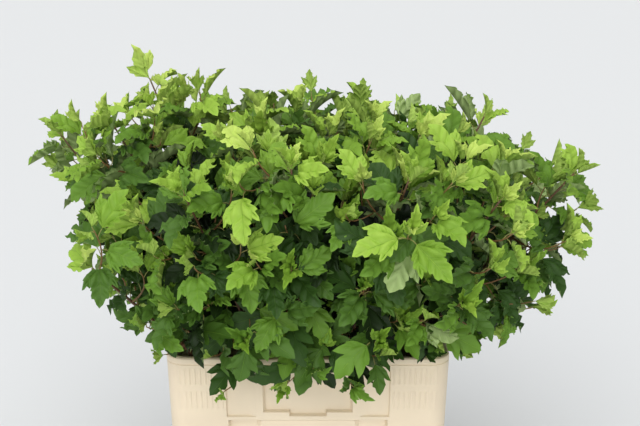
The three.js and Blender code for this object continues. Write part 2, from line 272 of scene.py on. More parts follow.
# One leaf of length 1: lobe tips, the notch between them, and the bulge of each edge
LEAF_TIP = Vector((1.0, 0.0))
LOBE_TIP = Vector((0.60, 0.42))
LOBE_NOTCH = Vector((0.47, 0.155))
OUTER_BULGE = Vector((0.16, 0.36))
INNER_BULGE = Vector((0.56, 0.28))
CENTRE_BULGE = Vector((0.75, 0.29))
YOUNG_CENTRE_BULGE = Vector((0.69, 0.23))
YOUNG_WIDTH = 0.86
HALF_WIDTH = (0.93, 1.05)

# Teeth: how many on the side lobe's outer and inner edge and on the middle lobe, and the points of one
TEETH = {"plain": (2, 1, 2), "detailed": (3, 2, 3), "young": (3, 2, 3)}
TOOTH_DEPTH = 0.031
NOTCH_SHARE = 0.5
YOUNG_TOOTH = [(0.7, 1.3)]
GROWN_TOOTH = [(0.42, 0.75), (0.8, 1.0)]
LAST_TOOTH = [(0.55, 0.0)]
PLAIN_EDGE = 0.3

# Relief: pleats between the side veins, by the kind of the corner at the edge
PLEAT = 0.125
HALFWAY = 0.55
PLEAT_HALFWAY = {"notch": 1.0, "border": 1.0, "cleft": 1.0, "tooth": 0.1}
PLEAT_AT_EDGE = {"notch": 0.5, "border": 1.0, "cleft": 1.0}
VEIN_SLANT = 0.85
BLADE_THICKNESS = 0.006
VEIN_RADIUS = 0.0095
VEIN_LIFT = 0.006
VEIN_TAPER = 0.25
VEIN_REACH = 0.93
VEIN_SIDES = 3
MIDRIB_STEPS = {"plain": 3, "detailed": 4, "young": 4}
SIDE_VEIN_STEPS = 2

# Bends, each between two values. Young leaves are folded more, curl less and all droop alike
TEMPLATES = 6
TWIST = (-0.35, 0.35)
WAVE = (0.03, 0.09)
YOUNG_BEND = {"fold": (0.4, 1.0), "curl": (-0.1, 0.5), "twist": TWIST, "wave": WAVE}
GROWN_BEND = {"fold": (0.2, 0.6), "curl": (0.1, 0.8), "lobe_droop": (0.3, 1.2), "twist": TWIST, "wave": WAVE}
YOUNG_LOBE_DROOP = 0.2
WAVES = 9
DROOP_FROM = 0.16
CURL_POWER = 1.3

# Seeds, so that every run grows the same plant
LAYOUT_SEED = 7
MASS_SEED = 500
LEAF_SEED = 9000
SHAPE_SEED = 40

# Colours as the eye names them, 0 to 255
# Pale to dark. Painted shade and painted light move a leaf along them; the darkest come only with painted
# shade
LEAF_COLOURS = [
    (183, 206, 98),
    (150, 184, 69),
    (123, 160, 52),
    (99, 137, 45),
    (74, 108, 38),
    (50, 80, 28),
    (29, 48, 16),
    (15, 27, 8),
]
SHOOT_COLOUR = (128, 96, 58)
PETIOLE_COLOUR = (150, 146, 82)
BARK_COLOUR = (98, 70, 48)
CREAM = (228, 212, 186)

# Undersides of leaves, each with its roughness; the lit one is paler, painted light shining through a leaf
UNDERSIDES = [
    ("leaf_underside_young", (170, 200, 94), 0.6),
    ("leaf_underside", (167, 190, 124), 0.65),
    ("leaf_underside_lit", (188, 216, 104), 0.6),
]


def seeded(seed):
    """Random numbers from 0 to 1, the same ones for the same seed, as in the source of the solids."""
    whole = 0xFFFFFFFF
    state = seed & whole

    def draw():
        nonlocal state
        state = (state + 0x6D2B79F5) & whole
        mixed = ((state ^ (state >> 15)) * (state | 1)) & whole
        mixed ^= (mixed + (mixed ^ (mixed >> 7)) * (mixed | 61)) & whole
        return (mixed ^ (mixed >> 14)) / (whole + 1)

    return draw


def clamp(value, low=0.0, high=1.0):
    return max(low, min(high, value))


def mix(start, end, share):
    return start + (end - start) * share


def linear(colour):
    """A colour as the eye names it, 0 to 255, as the shader's light values."""
    shares = [channel / 255 for channel in colour]
    return [s / 12.92 if s <= 0.04045 else ((s + 0.055) / 1.055) ** 2.4 for s in shares]


# Materials


def principled(name, colour, roughness, specular=0.5):
    """A new material and its shader node."""
    material = bpy.data.materials.new(name)
    material.use_nodes = True
    shader = material.node_tree.nodes["Principled BSDF"]
    shader.inputs["Base Color"].default_value = (*linear(colour), 1)
    shader.inputs["Roughness"].default_value = roughness
    shader.inputs["Specular IOR Level"].default_value = specular
    return material, shader


def add_node(material, kind, **values):
    """A new node, with the values of its input sockets by name."""
    node = material.node_tree.nodes.new(kind)
    for socket, value in values.items():
        node.inputs[socket.replace("_", " ")].default_value = value
    return node


def join(output, socket):
    """Lets what one node gives out drive another node."""
    output.id_data.links.new(output, socket)


def object_noise(material, scale, detail, stretch=(1, 1, 1)):
    """A noise texture in the object's own coordinates."""
    place = add_node(material, "ShaderNodeTexCoord")
    mapping = add_node(material, "ShaderNodeMapping", Scale=stretch)
    texture = add_node(material, "ShaderNodeTexNoise", Scale=scale, Detail=detail)
    join(place.outputs["Object"], mapping.inputs["Vector"])
    join(mapping.outputs["Vector"], texture.inputs["Vector"])
    return texture


def add_bump(material, shader, height, strength, distance):
    """Lets a texture's value raise the surface a little."""
    bump = add_node(material, "ShaderNodeBump", Strength=strength, Distance=distance)
    join(height, bump.inputs["Height"])
    join(bump.outputs["Normal"], shader.inputs["Normal"])


def ramped(material, shader, texture, stops):
    """Lets a texture's value move the colour along a ramp."""
    ramp = material.node_tree.nodes.new("ShaderNodeValToRGB")
    elements = ramp.color_ramp.elements
    while len(elements) < len(stops):
        elements.new(0.5)
    for element, (position, colour) in zip(elements, stops):
        element.position = position
        element.color = (*colour, 1)
    join(texture.outputs["Fac"], ramp.inputs["Fac"])
    join(ramp.outputs["Color"], shader.inputs["Base Color"])


def uneven_gloss(material, shader, texture, low, high):
    """Lets a texture's value move the roughness between two values."""
    spread = add_node(material, "ShaderNodeMapRange", To_Min=low, To_Max=high)
    join(texture.outputs["Fac"], spread.inputs["Value"])
    join(spread.outputs["Result"], shader.inputs["Roughness"])


def leaf_material(name, colour, roughness=0.5):
    """A leaf's skin: one green, with a fine net of veins and uneven gloss."""
    material, shader = principled(name, colour, roughness, specular=0.22)
    place = add_node(material, "ShaderNodeTexCoord")
    net = add_node(material, "ShaderNodeTexVoronoi", Scale=420.0)
    net.feature = "DISTANCE_TO_EDGE"
    join(place.outputs["Object"], net.inputs["Vector"])
    add_bump(material, shader, net.outputs["Distance"], strength=0.25, distance=0.0004)
    gloss = object_noise(material, scale=160.0, detail=3.0)
    uneven_gloss(material, shader, gloss, low=roughness - 0.08, high=roughness + 0.1)
    return material


def shoot_material(name, colour):
    """Young bark: smooth and a little glossy, with fine lengthwise unevenness."""
    material, shader = principled(name, colour, roughness=0.5, specular=0.4)
    texture = object_noise(material, scale=900.0, detail=3.0, stretch=(1, 1, 0.2))
    add_bump(material, shader, texture.outputs["Fac"], strength=0.4, distance=0.0003)
    return material


def bark_material():
    """Older bark: reddish brown with paler lengthwise streaks and flakes."""
    material, shader = principled("bark", BARK_COLOUR, roughness=0.72, specular=0.3)
    texture = object_noise(material, scale=320.0, detail=6.0, stretch=(1, 1, 0.09))
    brown = linear(BARK_COLOUR)
    stops = [(0.3, [c * 0.55 for c in brown]), (0.55, brown), (0.8, [c * 1.9 for c in brown])]
    ramped(material, shader, texture, stops)
    add_bump(material, shader, texture.outputs["Fac"], strength=0.8, distance=0.0008)
    return material


def container_material():
    """Cream moulded plastic with a fine grain, faint clouding, and scuffs that run up and down."""
    material, shader = principled("cream_plastic", CREAM, roughness=0.42, specular=0.45)
    cream = linear(CREAM)
    clouds = object_noise(material, scale=9.0, detail=5.0)
    stops = [(0.3, [c * 0.93 for c in cream]), (0.7, [min(1, c * 1.03) for c in cream])]
    ramped(material, shader, clouds, stops)
    scuffs = object_noise(material, scale=240.0, detail=4.0, stretch=(1, 1, 0.06))
    uneven_gloss(material, shader, scuffs, low=0.34, high=0.56)
    grain = object_noise(material, scale=1400.0, detail=2.0)
    add_bump(material, shader, grain.outputs["Fac"], strength=0.15, distance=0.0002)
    return material


# Meshes


def new_object(name, data):
    """A new object in the scene, from its mesh, camera or light."""
    made = bpy.data.objects.new(name, data)
    bpy.context.scene.collection.objects.link(made)
    return made


def new_piece(name, points, faces, materials, slots=0):
    """A new smooth piece. Slots say which of its materials each face has."""
    mesh = bpy.data.meshes.new(name)
    mesh.from_pydata(points, [], faces)
    mesh.polygons.foreach_set("use_smooth", np.ones(len(faces), bool))
    mesh.polygons.foreach_set("material_index", np.broadcast_to(slots, len(faces)).astype(np.int32))
    for material in materials:
        mesh.materials.append(material)
    mesh.update()
    return new_object(name, mesh)


class Heap:
    """Corners, triangles and material numbers of many small shapes that become one mesh."""

    def __init__(self):
        self.points = []
        self.faces = []
        self.slots = []
        self.count = 0

    def add(self, points, faces, slots):
        self.points.append(points)
        self.faces.append(faces + self.count)
        self.slots.append(np.broadcast_to(slots, len(faces)))
        self.count += len(points)

    def piece(self, name, materials):
        points, faces = np.concatenate(self.points), np.concatenate(self.faces)
        return new_piece(name, points.tolist(), faces.tolist(), materials, np.concatenate(self.slots))


def tube(points, radii, sides, relief=None):
    """The corners and triangles of a closed bar. Relief is each corner's share of the radius."""
    last = len(points) - 1
    side = None
    rings = []
    for i, (point, radius) in enumerate(zip(points, radii)):
        tangent = (points[min(i + 1, last)] - points[max(i - 1, 0)]).normalized()
        side = tangent.orthogonal() if side is None else side - tangent * side.dot(tangent)
        side.normalize()
        other = tangent.cross(side)
        for j in range(sides):
            angle = 2 * math.pi * j / sides
            reach = radius * (relief(i, j) if relief else 1)
            rings.append(point + (side * math.cos(angle) + other * math.sin(angle)) * reach)
    faces = []
    for i in range(last):
        for j in range(sides):
            a, b = i * sides + j, i * sides + (j + 1) % sides
            faces += [(a, b, b + sides), (a, b + sides, a + sides)]
    top = last * sides
    faces += [(0, j + 1, j) for j in range(1, sides - 1)]
    faces += [(top, top + j, top + j + 1) for j in range(1, sides - 1)]
    return np.array([tuple(p) for p in rings]), np.array(faces)


# Container


def rise(value, start, end):
    """0 at start and 1 at end, with a ramp between; end may be the smaller one."""
    return clamp((value - start) / (end - start))


def field(x, z, shape):
    """1 inside a sunk field, 0 outside, with a ramp as wide as its edge."""
    edge = shape["edge"]
    across = rise(x, shape["half"], shape["half"] - edge)
    return across * rise(z, shape["low"], shape["low"] + edge) * rise(z, shape["high"], shape["high"] - edge)


def long_face_depth(x, z):
    """How deep a long face lies, by the distance from its middle and the height."""
    block = BLOCK["share"] * rise(x, BLOCK["foot"], BLOCK["half"])
    panel = PANEL["depth"] * field(x, z, PANEL) * (1 - block)
    window = rise(x, WINDOW["half"], WINDOW["half"] - WINDOW["edge"])
    window *= rise(z, WINDOW["low"], WINDOW["low"] + WINDOW["sill"])
    notch = rise(x, NOTCH["half"], NOTCH["half"] - NOTCH["edge"])
    notch *= rise(z, NOTCH["low"], NOTCH["low"] + NOTCH["edge"])
    opening = max(window, notch) * rise(z, WINDOW["high"], WINDOW["high"] - WINDOW["sill"])
    middle = RECESS_MIDDLE["share"] * rise(x, RECESS_MIDDLE["foot"], RECESS_MIDDLE["half"])
    recess = RECESS["depth"] * field(x, z, RECESS) * (1 - middle)
    return panel + WINDOW["depth"] * opening + recess


def short_face_depth(x, z):
    return SIDE_PANEL["depth"] * field(x, z, SIDE_PANEL) + GRIP["depth"] * field(x, z, GRIP)


def rib_height(along, z):
    """How far the ribs stand out, by the distance from a long face's middle round the corner."""
    if not RIB_FROM <= along <= RIB_TO:
        return 0.0
    wave = max(0.0, math.sin(2 * math.pi * (along - RIB_FROM) / RIB_PITCH))
    bands = [{"half": 1, "low": low, "high": high, "edge": RIB_EDGE} for low, high in RIB_BANDS]
    return RIB_HEIGHT * wave * max(field(0, z, band) for band in bands)


def face_stations(half, edges):
    """Places across a face, with one on each edge of what is on it."""
    ends = sorted({0.0, half, *[edge for edge in edges if edge < half]})
    return [-x for x in reversed(ends) if x] + ends


def side_edges(shapes):
    """Where the sides of sunk fields begin and end."""
    return [edge for shape in shapes for edge in (shape["half"], shape["half"] - shape["edge"])]


def long_face_edges():
    edges = side_edges([PANEL, WINDOW, NOTCH, RECESS]) + LONG_FACE_PLACES
    edges += [BLOCK["half"], BLOCK["foot"], RECESS_MIDDLE["half"], RECESS_MIDDLE["foot"]]
    count = round((RIB_TO - RIB_FROM) / RIB_STEP)
    return edges + [RIB_FROM + RIB_STEP * i for i in range(count + 1)]


def short_face_edges():
    return side_edges([SIDE_PANEL, GRIP]) + SHORT_FACE_PLACES


def plan_columns():
    """The corners of the container's plan, anticlockwise from the front's left end: each with its place, the
    way out, how deep its face lies, its distance from that face's middle, and from a long face's middle."""
    straight_x = HALF_LENGTH - CORNER_RADIUS
    straight_y = HALF_DEPTH - CORNER_RADIUS
    columns = []
    for turn in range(4):
        is_long = turn % 2 == 0
        half = straight_x if is_long else straight_y
        distance = HALF_DEPTH if is_long else HALF_LENGTH
        depth = long_face_depth if is_long else short_face_depth
        spin = Matrix.Rotation(turn * math.pi / 2, 2)
        for x in face_stations(half, long_face_edges() if is_long else short_face_edges()):
            along = abs(x) if is_long else straight_x + math.pi / 2 * CORNER_RADIUS
            place = spin @ Vector((x, -distance))
            columns.append((place, spin @ Vector((0, -1)), depth, abs(x), along))
        middle = spin @ Vector((half, -distance + CORNER_RADIUS))
        for step in range(1, CORNER_STEPS):
            share = step / CORNER_STEPS
            angle = -math.pi / 2 + share * math.pi / 2
            out = spin @ Vector((math.cos(angle), math.sin(angle)))
            from_long = share if is_long else 1 - share
            along = straight_x + from_long * math.pi / 2 * CORNER_RADIUS
            columns.append((middle + out * CORNER_RADIUS, out, lambda x, z: 0.0, 1.0, along))
    return columns


def heights():
    """The heights of the rows of corners, with one on each edge on the faces."""
    bands = [(shape["low"], shape["high"], shape["edge"]) for shape in (PANEL, RECESS, SIDE_PANEL, GRIP)]
    bands += [(WINDOW["low"], WINDOW["high"], WINDOW["sill"])]
    bands += [(low, high, RIB_EDGE) for low, high in RIB_BANDS]
    rows = PLAIN_ROWS | {NOTCH["low"], NOTCH["low"] + NOTCH["edge"]}
    for low, high, edge in bands:
        rows |= {low, low + edge, high, high - edge}
    ordered = sorted(rows)
    apart = [ordered[0]]
    for row in ordered[1:]:
        if row - apart[-1] > ROWS_APART:
            apart.append(row)
    return apart


def container_point(column, inset, z, with_depth):
    """A corner of the skin: its column moved in, sunk by the face's depth, and drawn in by the draft."""
    place, out, depth, x, along = column
    sunk = inset
    if with_depth:
        sunk += depth(x, z) - (rib_height(along, z) if inset == 0 else 0)
    at = place - out * sunk
    narrowing = math.tan(math.radians(DRAFT_DEG)) * max(0, CONTAINER_HEIGHT - z)
    return at.x * (1 - narrowing / HALF_LENGTH), at.y * (1 - narrowing / HALF_DEPTH), z


def container():
    """The container as one closed skin: underside, outside, rim, inside and floor."""
    columns = plan_columns()
    rows = [(FOOT_RING, FOOT_RING_DEPTH, False), (FOOT_RING - FOOT_RING_SLOPE, 0.0, False)]
    rows += [(inset, z, False) for inset, z in FOOT_PROFILE]
    rows += [(0, z, True) for z in heights()]
    rows += [(inset, z, False) for inset, z in RIM_PROFILE]
    rows += [(WALL, z, True) for z in reversed(heights()) if z > FLOOR + INSIDE_FROM]
    rows += [(WALL, FLOOR + FLOOR_ROUND, False), (WALL + FLOOR_ROUND, FLOOR, False)]
    points = [container_point(column, inset, z, deep) for inset, z, deep in rows for column in columns]
    width = len(columns)
    faces = []
    for row in range(len(rows) - 1):
        for i in range(width):
            a, b = row * width + i, row * width + (i + 1) % width
            faces.append((a, b, b + width, a + width))
    last = (len(rows) - 1) * width
    points += [(0, 0, FOOT_RING_DEPTH), (0, 0, FLOOR)]
    for i in range(width):
        after = (i + 1) % width
        faces.append((after, i, len(points) - 2))
        faces.append((last + i, last + after, len(points) - 1))
    piece = new_piece("container_shell", points, faces, [container_material()])
    piece.data.set_sharp_from_angle(angle=math.radians(SHARP_DEG))
    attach(piece, BODY)
    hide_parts("container")


# Where the stems stand and how far the crown reaches, by the rule of the solids


def fan_direction(u, v, extra_deg):
    """The way a stem leans, by its place in the grid, from -1 to 1 along X and Y."""
    lean_x = math.tan(math.radians(u * FAN_X_DEG + FAN_TURN_DEG + extra_deg))
    lean_y = math.tan(math.radians(v * FAN_Y_DEG))
    return Vector((lean_x, lean_y, 1)).normalized()


def crown_reach(direction):
    """How far the crown reaches from the fan's origin along a direction."""
    tilt = math.degrees(direction.angle(UP))
    across, along = direction.x**2, direction.y**2
    at_end = LIMIT_DEG["left" if direction.x < 0 else "right"]
    at_face = LIMIT_DEG["front" if direction.y < 0 else "back"]
    limit = (at_end * across + at_face * along) / ((across + along) or 1)
    past = max(0.0, tilt - SHOULDER_DEG) / (limit - SHOULDER_DEG)
    rounded = CROWN_REACH * math.sqrt(max(0.0, 1 - past * past))
    return min(rounded, CROWN_TOP_REACH / max(TINY, math.cos(math.radians(tilt))))


def stem_layout():
    """Where each stem stands, leans and ends. Each row closes the gaps of the one before."""
    random = seeded(LAYOUT_SEED)

    def jitter():
        return GRID_JITTER * (random() - 0.5)

    stems = []
    for row in range(STEM_ROWS):
        stagger = GRID_STAGGER if row % 2 else -GRID_STAGGER
        for column in range(STEM_COLUMNS):
            u = 2 * (column + 0.5 + stagger + jitter()) / STEM_COLUMNS - 1
            v = 2 * (row + 0.5 + jitter()) / STEM_ROWS - 1
            name = f"{column + 1}_{row + 1}"
            leader_vigour, extra_deg = LEADERS.get(name, (1, 0))
            direction = fan_direction(u, v, extra_deg)
            top = FAN_ORIGIN + direction * ((STEM_TOP_HEIGHT - FAN_ORIGIN.z) / direction.z)
            stems.append({
                "name": name,
                "direction": direction,
                "top": top,
                "foot": Vector((top.x * FOOT_SPREAD, top.y * FOOT_SPREAD, FLOOR + FOOT_GAP)),
                "vigour": (1 - SHORTER * random()) * leader_vigour,
                "spin": 360 * random(),
                "is_outer": column in (0, STEM_COLUMNS - 1) or row in (0, STEM_ROWS - 1),
            })
    return stems


def clear_of_container(points):
    """True if the points are all above the container, or all outside one of its faces."""
    outside_x = HALF_LENGTH + CLEARANCE
    outside_y = HALF_DEPTH + CLEARANCE
    x, y, z = zip(*points)
    is_above = min(z) > CONTAINER_HEIGHT + CLEARANCE
    is_beside = min(x) > outside_x or max(x) < -outside_x or min(y) > outside_y or max(y) < -outside_y
    return is_above or is_beside


def lowest_leaf(point):
    """How low a leaf may hang. Beside the skirt that hangs over the rim, the further out the higher."""
    if SKIRT[0] < point.x < SKIRT[1]:
        return LOWEST_LEAF_FRONT
    past_rim = max(0.0, abs(point.y) - HALF_DEPTH)
    return LOWEST_LEAF_SIDE + SIDE_RISE * past_rim


def in_crown(point, vigour):
    """True within the crown's reach and above its lowest leaves."""
    from_origin = point - FAN_ORIGIN
    return point.z > lowest_leaf(point) and from_origin.length < crown_reach(from_origin) * vigour


def leaning(axis, lean_deg, turn_deg):
    """A unit vector that leans from an axis by an angle, at a turn about it: outward and down at 270."""
    side = UP.cross(axis).normalized()
    side.rotate(Matrix.Rotation(math.radians(turn_deg), 3, axis))
    return axis * math.cos(math.radians(lean_deg)) + side * math.sin(math.radians(lean_deg))


def twig_try(stem, start, end, count, random):
    """Where a try at a twig starts and ends, and its turn. An outer stem's first tries are for the skirt."""
    if stem["is_outer"] and count < SKIRT_TRIES:
        at = SKIRT_TO * random()
        lean = SKIRT_LEAN_DEG
        turn = OUTWARD_TURN_DEG + SKIRT_SPREAD_DEG * (2 * random() - 1)
        length = mix(*SKIRT_LENGTH, random())
    else:
        at = mix(*TWIG_PLACES, random())
        lean = mix(*TWIG_LEAN_DEG, at)
        turn = stem["spin"] + GOLDEN_ANGLE_DEG * count
        length = mix(*TWIG_LENGTH, random())
    foot = start.lerp(end, at)
    return foot, foot + leaning(stem["direction"], lean, turn) * length, turn


# Leaf shapes


def toothed_edge(start, bulge, end, teeth, side, is_young, plain=0.0):
    """Corners along a bulging edge, each with its kind. After a plain part come teeth that lean to its end,
    pointed ones on a young leaf and blunt ones on the others."""
    profile = YOUNG_TOOTH if is_young else GROWN_TOOTH

    def on_curve(t):
        return start * (1 - t) ** 2 + bulge * (2 * t * (1 - t)) + end * t * t

    def outward(t):
        slope = (bulge - start) * (1 - t) + (end - bulge) * t
        return Vector((-slope.y, slope.x)).normalized() * side

    corners = []
    step = (1 - plain) / teeth
    for tooth in range(teeth):
        t = plain + step * tooth
        if tooth or plain:
            sunk = TOOTH_DEPTH * NOTCH_SHARE if tooth else 0
            corners.append((on_curve(t) - outward(t) * sunk, "notch"))
        for share, height in LAST_TOOTH if tooth == teeth - 1 else profile:
            place = t + step * share
            corners.append((on_curve(place) + outward(place) * (TOOTH_DEPTH * height), "tooth"))
    return corners + [(end.copy(), "tip")]


def blade_strips(teeth, is_young):
    """The strips of half a blade: each is a lobe's tip and the corners across from its vein."""
    base = Vector((0.0, 0.0))
    border = [(base, "base"), (LOBE_NOTCH * HALFWAY, "border"), (LOBE_NOTCH, "cleft")]
    centre_bulge = YOUNG_CENTRE_BULGE if is_young else CENTRE_BULGE
    outer = toothed_edge(base, OUTER_BULGE, LOBE_TIP, teeth[0], 1, is_young, PLAIN_EDGE)
    inner = toothed_edge(LOBE_NOTCH, INNER_BULGE, LOBE_TIP, teeth[1], -1, is_young)
    centre = toothed_edge(LOBE_NOTCH, centre_bulge, LEAF_TIP, teeth[2], 1, is_young)
    return [(LOBE_TIP, border[:1] + outer), (LOBE_TIP, border + inner), (LEAF_TIP, border + centre)]


def vein_feet(tip, corners):
    """The point on a lobe's vein that each corner's side vein grows from."""
    length = tip.length
    axis = tip.normalized()
    reached = 0.0
    feet = []
    for corner, _ in corners:
        across = abs(axis.x * corner.y - axis.y * corner.x)
        reached = clamp(axis.dot(corner) - VEIN_SLANT * across, reached, length)
        feet.append(axis * reached)
    feet[-1] = tip.copy()
    return feet


class Blade:
    """A flat blade of length 1 as numbered corners and triangles, before it is bent."""

    def __init__(self):
        self.numbers = {}
        self.points = []
        self.faces = []
        self.roles = []

    def corner(self, place, z, layer):
        key = (round(place.x, 5), round(place.y, 5), layer)
        if key not in self.numbers:
            self.numbers[key] = len(self.points)
            self.points.append((place.x, place.y, z))
        return self.numbers[key]

    def face(self, corners, is_upper):
        """The corners as a triangle or two that face up, or down on the underside."""
        unlike = list(dict.fromkeys(corners))
        for i in range(1, len(unlike) - 1):
            a, b, c = unlike[0], unlike[i], unlike[i + 1]
            (ax, ay, _), (bx, by, _), (cx, cy, _) = self.points[a], self.points[b], self.points[c]
            turns_left = (bx - ax) * (cy - ay) - (by - ay) * (cx - ax) > 0
            self.faces.append((a, b, c) if turns_left == is_upper else (a, c, b))
            self.roles.append(0 if is_upper else 1)


def blade_rows(blade, feet, corners, wide, pleated):
    """One strip's corners on both sides of the blade: on the vein, at the edge, and raised halfway."""
    upper, under = [], []
    for foot, (corner, kind) in zip(feet, corners):
        foot_place = Vector((foot.x, foot.y * wide))
        edge_place = Vector((corner.x, corner.y * wide))
        raised = PLEAT * PLEAT_AT_EDGE.get(kind, 0)
        places = [(foot_place, 0.0, kind != "tip"), (edge_place, raised, kind in ("border", "base"))]
        if pleated:
            bulge = PLEAT * PLEAT_HALFWAY.get(kind, 0)
            places.insert(1, (foot_place.lerp(edge_place, HALFWAY), bulge, kind != "tip"))
        upper.append([blade.corner(place, z, "upper") for place, z, _ in places])
        lower = [(place, z - BLADE_THICKNESS * thick) for place, z, thick in places]
        under.append([blade.corner(place, z, "under") for place, z in lower])
    return upper, under


def blade_shape(kind, random):
    """The corners, triangles and roles of a flat leaf: upper side 0, underside 1, veins 2."""
    blade = Blade()
    for sign in (1, -1):
        wide = sign * mix(*HALF_WIDTH, random())
        for tip, corners in blade_strips(TEETH[kind], kind == "young"):
            rows = blade_rows(blade, vein_feet(tip, corners), corners, wide, kind != "plain")
            for layer, is_upper in zip(rows, (True, False)):
                for here, after in zip(layer, layer[1:]):
                    for i in range(len(here) - 1):
                        blade.face([here[i], after[i], after[i + 1], here[i + 1]], is_upper)
    return np.array(blade.points), np.array(blade.faces), np.array(blade.roles)


def with_veins(points, faces, roles, lobes):
    """A flat leaf with its main veins, which start at its base and stand out on both sides."""
    for tip, steps in lobes:
        taper = [mix(1, VEIN_TAPER, i / steps) for i in range(steps + 1)]
        line = [Vector((tip.x, tip.y, 0)) * (VEIN_REACH * i / steps) for i in range(steps + 1)]
        places = [place + UP * (VEIN_LIFT * share) for place, share in zip(line, taper)]
        vein_points, vein_faces = tube(places, [VEIN_RADIUS * share for share in taper], VEIN_SIDES)
        faces = np.concatenate([faces, vein_faces + len(points)])
        points = np.concatenate([points, vein_points])
        roles = np.concatenate([roles, np.full(len(vein_faces), 2)])
    return points, faces, roles


def bent(points, fold, curl, twist, wave, lobe_droop=YOUNG_LOBE_DROOP):
    """A flat leaf folded along its midrib, curled over, twisted, and wavy at its edge."""
    x, y, z = points.T
    z = z + fold * np.abs(y) - lobe_droop * np.maximum(0, np.abs(y) - DROOP_FROM) ** 2
    z = z + wave * np.abs(y) * np.sin(WAVES * x + np.sign(y))
    angle = curl * np.clip(x, 0, None) ** CURL_POWER
    x_bent = np.where(x > 0, x * np.cos(angle * 0.5), x) + z * np.sin(angle)
    z_bent = z * np.cos(angle) - np.where(x > 0, x * np.sin(angle * 0.5), 0)
    turn = twist * x
    y_turned = y * np.cos(turn) - z_bent * np.sin(turn)
    z_turned = z_bent * np.cos(turn) + y * np.sin(turn)
    return np.stack([x_bent, y_turned, z_turned], axis=1)


def leaf_templates(kind, random):
    """Differently bent leaves of one kind: detailed, plain for the crown's inside, or young."""
    lobes = [(LEAF_TIP, MIDRIB_STEPS[kind])]
    if kind != "plain":
        lobes += [(Vector((LOBE_TIP.x, sign * LOBE_TIP.y)), SIDE_VEIN_STEPS) for sign in (1, -1)]
    ranges = YOUNG_BEND if kind == "young" else GROWN_BEND
    templates = []
    for _ in range(TEMPLATES):
        points, faces, roles = with_veins(*blade_shape(kind, random), lobes)
        if kind == "young":
            points[:, 1] *= YOUNG_WIDTH
        bends = {name: mix(*ends, random()) for name, ends in ranges.items()}
        templates.append((bent(points, **bends), faces, roles))
    return templates


# Growth


class Room:
    """Sample points of all the leaves that have grown, to keep new ones out of them."""

    def __init__(self, distance):
        self.distance = distance
        self.cells = {}

    def key(self, point):
        return tuple(int(math.floor(c / self.distance)) for c in point)

    def is_free(self, points):
        for point in points:
            near = [(c - 1, c, c + 1) for c in self.key(point)]
            for cell in itertools.product(*near):
                if any((other - point).length < self.distance for other in self.cells.get(cell, ())):
                    return False
        return True

    def take(self, points):
        for point in points:
            self.cells.setdefault(self.key(point), []).append(point)


def heading(foot, tip):
    """The way a shoot points at its tip: up and outward, and level or drooping low down."""
    kept = (tip - foot).normalized() * SHOOT_KEEPS
    rising = UP * mix(*SHOOT_RISE, lowness(tip))
    return (kept + (tip - FAN_ORIGIN).normalized() + rising).normalized()


def curved(start, end, end_heading, steps):
    """Points along a shoot that turns to its heading at the tip."""
    knee = end - end_heading * (SHOOT_KNEE * (end - start).length)
    shares = [i / steps for i in range(steps + 1)]
    return [start * (1 - t) ** 2 + knee * (2 * t * (1 - t)) + end * t * t for t in shares]


def point_on(points, distance_from_tip):
    """The point and direction on a line at a distance back from its tip, or None past its foot."""
    left = distance_from_tip
    for i in range(len(points) - 1, 0, -1):
        part = points[i] - points[i - 1]
        if left <= part.length:
            return points[i] - part.normalized() * left, part.normalized()
        left -= part.length
    return None


def lowness(point):
    """How much leaves droop and face outward: 1 at the rim, falling to 0 at the crown's top."""
    return (1 - clamp((point.z - CONTAINER_HEIGHT) / CROWN_TOP_REACH)) ** LOWNESS_POWER


def leaf_frame(axis, along, place, age, random):
    """A leaf's own directions: along it, across it, and out of its upper side."""
    low = lowness(place)
    outward = Vector((place.x, place.y, 0)).normalized()
    sag = UP * -(LEAF_SAG * random() + LEAF_DROOP * low**DROOP_POWER) * age
    along = (along + sag).normalized()
    facing = axis + UP * LEAF_FACING_UP + outward * mix(*LEAF_FACING_OUT, low)
    across = facing.cross(along).normalized()
    turned_over = 180 if random() < TURNED_OVER else 0
    roll = math.radians(LEAF_ROLL_DEG * (2 * random() - 1) + turned_over)
    across.rotate(Matrix.Rotation(roll, 3, along))
    pitch = math.radians(LEAF_PITCH_DEG * (2 * random() - 1))
    along.rotate(Matrix.Rotation(pitch, 3, across))
    return along, across, along.cross(across)


def leaf_samples(base, directions, length):
    """A few points on a leaf that keep others away."""
    along, across, _ = directions
    return [base + along * (x * length) + across * (y * length) for x, y in SAMPLE_PLACES]


def reach_share(point, vigour=1):
    """How far out a point is: 0 at the fan's origin and 1 where the crown ends."""
    from_origin = point - FAN_ORIGIN
    return from_origin.length / max(TINY, crown_reach(from_origin) * vigour)


def exposure(place, depth):
    """How far out a leaf is, which sets its painted shade. Near the rim it counts as far out once it is past
    the rim.
    """
    past_rim = max(abs(place.x) - HALF_LENGTH, abs(place.y) - HALF_DEPTH)
    height = (place.z - CONTAINER_HEIGHT) / RIM_ZONE
    low_share = mix(*RIM_EXPOSURE, clamp(height)) * (1 - clamp((height - 1) / RIM_FADE))
    return max(depth, low_share * clamp(1 + past_rim / RIM_REACH))


def full_light(height, share):
    """How much a leaf stands in full light, from 0 to 1: on the crown's top, or past its reach."""
    on_top = clamp((height - FULL_LIGHT_FROM) / FULL_LIGHT_OVER)
    return max(on_top, clamp((share - 1) / OUTGROWN_OVER))


